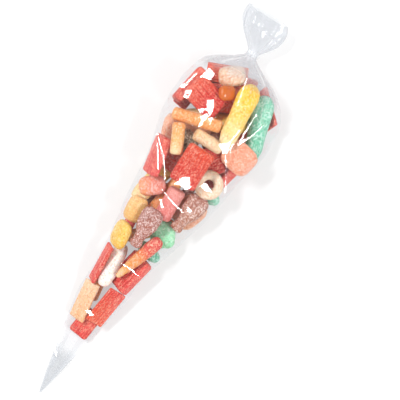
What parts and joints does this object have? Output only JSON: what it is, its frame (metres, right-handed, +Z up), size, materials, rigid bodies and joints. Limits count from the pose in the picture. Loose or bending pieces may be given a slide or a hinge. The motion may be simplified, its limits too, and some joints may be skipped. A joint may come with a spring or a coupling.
{
  "type": "clear film cone of gummy sweets",
  "caption": "Clear film cone filled with mixed sugared gummy sweets, gathered and tied at the neck with an open frill, lying on its side.",
  "frame": {"origin": "middle of the bounds on the table the cone lies on", "axes": "+X from the closed tip to the tied neck and frill, +Z up, +Y across the cone"},
  "size_m": [0.366, 0.0942, 0.0622],
  "materials": {
    "film": "clear, glossy, crinkled",
    "tie": "clear, glossy",
    "gummy_red": "sugared",
    "gummy_coral": "sugared",
    "gummy_deep_red": "sugared",
    "gummy_peach": "sugared",
    "gummy_orange": "sugared",
    "gummy_yellow": "sugared",
    "gummy_teal": "sugared",
    "gummy_pale_orange": "sugared",
    "gummy_cream": "sugared",
    "gummy_pink": "sugared",
    "gummy_plum": "sugared",
    "gummy_cola": "sugared",
    "gummy_mint": "sugared"
  },
  "bodies": {
    "root": {"film_cone": "film", "neck_tie": "tie", "brick_head_side": "gummy_red", "brick_head_top": "gummy_red", "brick_big": "gummy_coral", "brick_big_under": "gummy_deep_red", "brick_left": "gummy_red", "brick_low_side": "gummy_red", "brick_low_flat": "gummy_red", "belt_head_left": "gummy_red", "belt_head_right": "gummy_red", "belt_head_top": "gummy_coral", "belt_shoulder": "gummy_red", "belt_middle": "gummy_deep_red", "belt_low": "gummy_red", "belt_low_edge": "gummy_red", "slab_head": "gummy_peach", "slab_neck": "gummy_peach", "wedge_head": "gummy_orange", "finger_yellow": "gummy_yellow", "finger_teal": "gummy_teal", "stick_across": "gummy_orange", "stick_left": "gummy_pale_orange", "stick_middle": "gummy_cream", "stick_pink": "gummy_pink", "bottle_head": "gummy_plum", "bottle_brown": "gummy_cola", "bottle_plum": "gummy_plum", "ring_peach": "gummy_peach", "lump_pink_orange": "gummy_orange", "lump_orange": "gummy_pale_orange", "block_yellow": "gummy_yellow", "drop_orange": "gummy_orange", "tongue_white": "gummy_cream", "worm": "gummy_orange", "block_mint": "gummy_mint", "stick_low_orange": "gummy_orange", "belt_low_peach": "gummy_pale_orange", "under_brick_1": "gummy_red", "under_brick_2": "gummy_red", "under_brick_3": "gummy_red", "under_brick_4": "gummy_red", "under_brick_5": "gummy_red", "under_brick_6": "gummy_red", "under_bottle_1": "gummy_cola", "under_bottle_2": "gummy_cola", "under_bottle_3": "gummy_cola", "under_bottle_4": "gummy_cola", "under_finger_1": "gummy_yellow", "under_finger_2": "gummy_yellow", "under_stick_1": "gummy_orange", "under_stick_2": "gummy_orange", "under_stick_3": "gummy_orange", "under_slab_1": "gummy_peach", "under_slab_2": "gummy_peach", "under_slab_3": "gummy_peach", "under_lump_1": "gummy_teal", "under_lump_2": "gummy_teal", "under_lump_3": "gummy_teal"}
  },
  "joints": []
}
